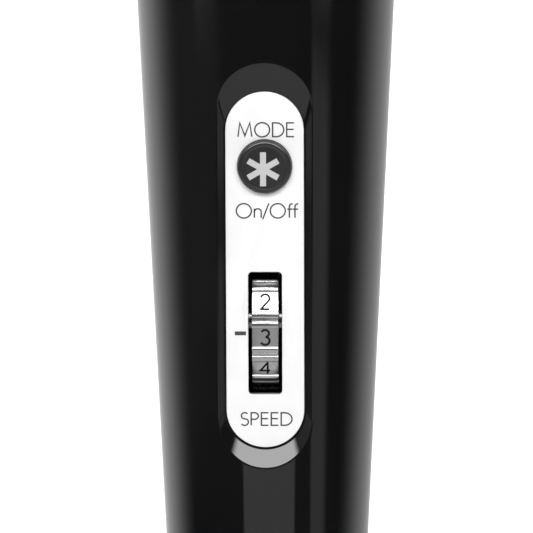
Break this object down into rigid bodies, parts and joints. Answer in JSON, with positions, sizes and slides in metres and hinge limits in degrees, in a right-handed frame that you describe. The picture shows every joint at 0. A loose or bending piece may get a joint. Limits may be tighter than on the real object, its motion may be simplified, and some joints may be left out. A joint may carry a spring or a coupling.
{
  "type": "handheld wand massager",
  "caption": "Corded wand massager: tapered two-shell handle with a recessed control plate, push button, numbered thumbwheel dial, flexible ribbed neck and a soft round vibrating head.",
  "frame": {"origin": "on the handle's axis, in the middle of the grip, which is level with the middle of the control plate", "axes": "+Z along the wand from the cord end to the head; the control panel faces -Y; +X is to the right when the panel is seen from the front"},
  "size_m": [0.06, 0.06, 0.3026],
  "materials": {
    "gloss_black": "high gloss",
    "matte_black": "fine matte",
    "button_black": "satin with a printed light grey star",
    "satin_silver": "fine satin, printed dark grey labels",
    "bright_silver": "bright plated",
    "steel": "turned",
    "zinc_steel": "zinc plated",
    "brass": "turned",
    "soft_grey": "matte silicone",
    "neck_rubber": "matte rubber",
    "pale_plastic": "moulded",
    "circuit_board": "solder mask",
    "component_blue": "lacquered",
    "component_dark": "moulded",
    "wire_insulation": "soft vinyl",
    "magnet": "sintered ferrite",
    "carbon": "graphite",
    "copper": "copper windings on steel laminations"
  },
  "bodies": {
    "handle": {"front_shell": "gloss_black", "rear_shell": "gloss_black", "case_screws": "zinc_steel", "control_plate": "satin_silver", "control_board": "circuit_board", "mode_switch": "component_dark", "wheel_bracket": "matte_black", "bracket_screws": "zinc_steel", "board_screws": "zinc_steel", "speed_pot": "component_blue", "power_board": "circuit_board", "power_parts": "component_dark", "terminal_block": "pale_plastic", "cord_gland": "neck_rubber", "cord_clamp": "matte_black", "clamp_screws": "zinc_steel", "motor_can": "steel", "motor_end_cap": "pale_plastic", "motor_brushes": "carbon", "motor_magnets": "magnet", "motor_bushes": "brass", "motor_dampers": "neck_rubber", "motor_leads": "wire_insulation", "control_leads": "wire_insulation", "neck_anchor": "matte_black", "neck_collar": "bright_silver"},
    "button": {"mode_button": "button_black"},
    "speed_dial": {"speed_wheel": "bright_silver", "pot_shaft": "steel"},
    "rotor": {"armature": "copper", "commutator": "copper", "motor_shaft": "steel", "drive_coupling": "steel"},
    "neck": {"neck_sleeve_lower": "neck_rubber", "neck_sleeve_upper": "neck_rubber", "neck_spring": "steel"},
    "head": {"head_collar": "bright_silver", "head_anchor": "matte_black", "head_base": "pale_plastic", "head_cap": "pale_plastic", "head_screws": "zinc_steel", "head_cover": "soft_grey", "bearing_outer_lower": "steel", "bearing_outer_upper": "steel", "bearing_balls": "steel"},
    "eccentric": {"eccentric_shaft": "steel", "eccentric_weight": "brass", "weight_screw": "zinc_steel", "bearing_inner_lower": "steel", "bearing_inner_upper": "steel"}
  },
  "joints": [
    {"name": "mode_press", "type": "slide", "parent": "handle", "child": "button", "axis": [0, 0.9996, 0.0279], "range_m": [0, 0.0006], "stiffness_N_per_m": 2500, "springref_m": -0.0002},
    {"name": "speed_turn", "type": "hinge", "parent": "handle", "child": "speed_dial", "pos_m": [0, -0.00735, -0.01253], "axis": [-1, 0, 0], "range_deg": [-60, 150]},
    {"name": "neck_nod", "type": "hinge", "parent": "handle", "child": "neck", "pos_m": [0, 0, 0.1115], "axis": [1, 0, 0], "range_deg": [-15, 15], "stiffness_Nm_per_rad": 4, "deforming": ["neck_sleeve_lower", "neck_spring"]},
    {"name": "neck_sway", "type": "hinge", "parent": "neck", "child": "head", "pos_m": [0, 0, 0.1225], "axis": [0, 1, 0], "range_deg": [-15, 15], "stiffness_Nm_per_rad": 4, "deforming": ["neck_sleeve_upper"]},
    {"name": "rotor_spin", "type": "hinge", "parent": "handle", "child": "rotor", "pos_m": [0, 0, 0.07], "axis": [0, 0, 1], "continuous": true, "deforming": ["drive_coupling"]},
    {"name": "eccentric_spin", "type": "hinge", "parent": "head", "child": "eccentric", "pos_m": [0, 0, 0.158], "axis": [0, 0, 1], "continuous": true}
  ],
  "couplings": [
    {"joint": "eccentric_spin", "follows": "rotor_spin", "ratio": 1}
  ]
}
